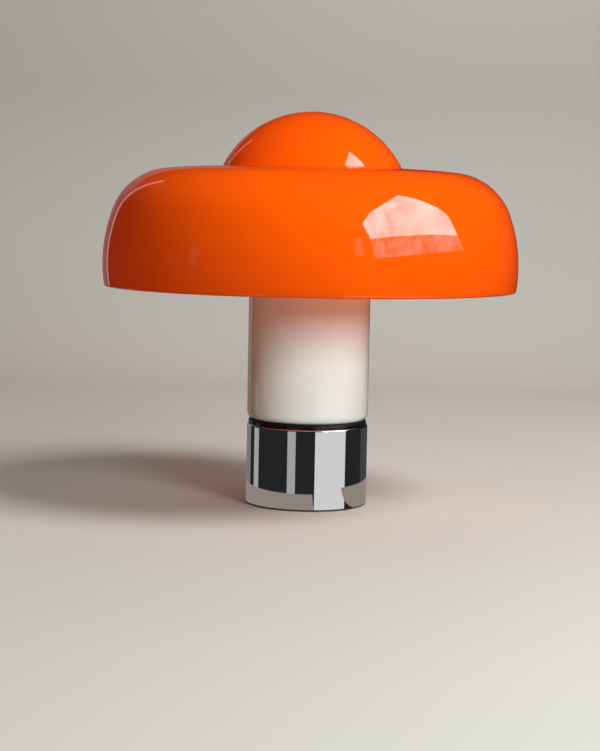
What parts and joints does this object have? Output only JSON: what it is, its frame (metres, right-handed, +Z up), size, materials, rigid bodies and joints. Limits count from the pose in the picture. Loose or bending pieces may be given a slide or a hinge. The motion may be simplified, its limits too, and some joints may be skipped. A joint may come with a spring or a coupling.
{
  "type": "table lamp",
  "caption": "Mushroom table lamp: wide lift-off glass shade with a domed top, on an opal glass stem that holds a screw-in bulb, over a round weighted chromed base.",
  "frame": {"origin": "centre of the foot, on the surface that the lamp stands on", "axes": "+Z up along the lamp's axis, front towards -Y, cable inlet at the back towards +Y, +X to the right seen from the front"},
  "size_m": [0.3998, 0.3999, 0.3788],
  "materials": {
    "felt": "dark wool felt",
    "black_steel": "satin black paint",
    "zinc_steel": "zinc plated",
    "cast_iron": "sand cast, primed dark grey",
    "brass": "bright",
    "chrome": "mirror chrome plate",
    "black_plastic": "moulded black thermoset",
    "black_rubber": "smooth black rubber",
    "steatite": "unglazed white ceramic",
    "opal_glass": "glossy white opal glass",
    "fibre": "pressed red fibre",
    "silicone": "translucent white silicone",
    "white_steel": "white powder coat",
    "spring_steel": "bright spring steel",
    "aluminium": "plain aluminium",
    "orange_glass": "high-gloss blown orange overlay glass",
    "bulb_contact": "tinned contact",
    "bulb_insulator": "black insulator",
    "nickel": "nickel plated, rolled thread",
    "white_plastic": "white thermoplastic",
    "led_board": "aluminium board, white lacquer",
    "bulb_opal": "opal diffuser"
  },
  "bodies": {
    "lamp": {"foot_pad": "felt", "bottom_plate": "black_steel", "plate_screws": "zinc_steel", "ballast": "cast_iron", "earth_washer": "zinc_steel", "earth_screw": "brass", "threaded_tube": "zinc_steel", "tube_washers": "zinc_steel", "tube_nuts": "zinc_steel", "base_cover": "chrome", "inlet_bushing": "black_plastic", "inlet_nut": "black_plastic", "seat_collar": "black_plastic", "seat_gasket": "black_rubber", "holder_cap": "black_plastic", "holder_core": "steatite", "terminal_screws": "brass", "holder_sleeve": "black_plastic", "screw_shell": "brass", "centre_contact": "brass", "stem_glass": "opal_glass", "clamp_gasket": "fibre", "clamp_ring": "black_plastic", "rim_gasket": "silicone", "shade_carrier": "white_steel", "carrier_clips": "spring_steel", "clip_rivets": "aluminium", "carrier_pads": "silicone"},
    "shade": {"shade_glass": "orange_glass"},
    "bulb": {"bulb_contact": "bulb_contact", "bulb_insulator": "bulb_insulator", "bulb_cap": "nickel", "bulb_body": "white_plastic", "led_board": "led_board", "bulb_diffuser": "bulb_opal"}
  },
  "joints": [
    {"name": "shade_lift", "type": "slide", "parent": "lamp", "child": "shade", "axis": [0, 0, 1], "range_m": [0, 0.13]},
    {"name": "bulb_slide", "type": "slide", "parent": "lamp", "child": "bulb", "axis": [0, 0, 1], "range_m": [0, 0.027]}
  ]
}
